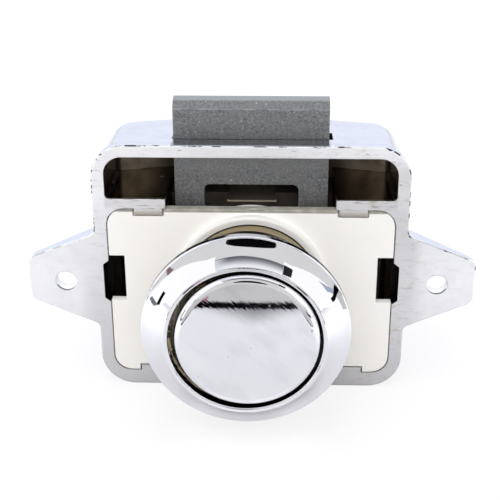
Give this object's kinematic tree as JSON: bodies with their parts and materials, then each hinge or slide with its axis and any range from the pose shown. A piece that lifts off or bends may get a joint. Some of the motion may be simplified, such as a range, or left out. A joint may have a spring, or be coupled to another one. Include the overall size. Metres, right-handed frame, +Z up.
{
  "type": "push button cabinet lock",
  "caption": "Push button cabinet lock: press the knob to drop the sprung bolt, with an eared surface case, a moulded front plate and a loose rosette.",
  "frame": {"origin": "where the knob's axis crosses the mounting plane, midway between the two screw holes", "axes": "+X to the right seen from the knob's side, +Y from the door into the case, +Z up, the way the bolt comes out"},
  "size_m": [0.07, 0.0368, 0.047],
  "materials": {
    "plated_zinc": "nickel-plated die casting, lightly flawed on the rim and ears, mirror bright inside",
    "chrome_plate": "polished chrome plate",
    "grey_zinc": "bare grey zinc, fine grain",
    "passivated_sleeve": "dull yellow passivated metal",
    "cream_plastic": "satin cream moulding",
    "white_acetal": "satin white moulding",
    "brown_plastic": "dark olive-brown moulding",
    "spring_steel": "drawn bright steel",
    "brass_nut": "turned brass"
  },
  "bodies": {
    "case": {"housing": "plated_zinc", "front_plate": "cream_plastic", "rear_guide": "brown_plastic", "catch_bracket": "brown_plastic", "catch_leaf": "spring_steel", "catch_rivets": "spring_steel", "catch_wire": "spring_steel", "spring_post": "spring_steel", "knob_spring": "spring_steel"},
    "slider": {"slider": "white_acetal", "track_plate": "white_acetal", "stem": "spring_steel", "stem_washer": "spring_steel", "stem_clip": "spring_steel"},
    "knob": {"knob_cap": "chrome_plate", "knob_hub": "white_acetal", "knob_nut": "brass_nut"},
    "bolt": {"bolt": "grey_zinc"},
    "rosette": {"rosette_ring": "chrome_plate", "rosette_sleeve": "passivated_sleeve"}
  },
  "joints": [
    {"name": "knob_push", "type": "slide", "parent": "case", "child": "slider", "axis": [0, -1, 0], "range_m": [-0.0008, 0.0075], "deforming": ["knob_spring", "catch_wire"]},
    {"name": "bolt_throw", "type": "slide", "parent": "case", "child": "bolt", "axis": [0, 0, 1], "range_m": [-0.0058, 0.00062]},
    {"name": "knob_length", "type": "slide", "parent": "slider", "child": "knob", "axis": [0, -1, 0], "range_m": [0, 0.009]},
    {"name": "rosette_slide", "type": "slide", "parent": "case", "child": "rosette", "axis": [0, -1, 0], "range_m": [-0.003, 0.015]}
  ],
  "couplings": [
    {"joint": "bolt_throw", "follows": "knob_push", "ratio": -0.77333}
  ]
}
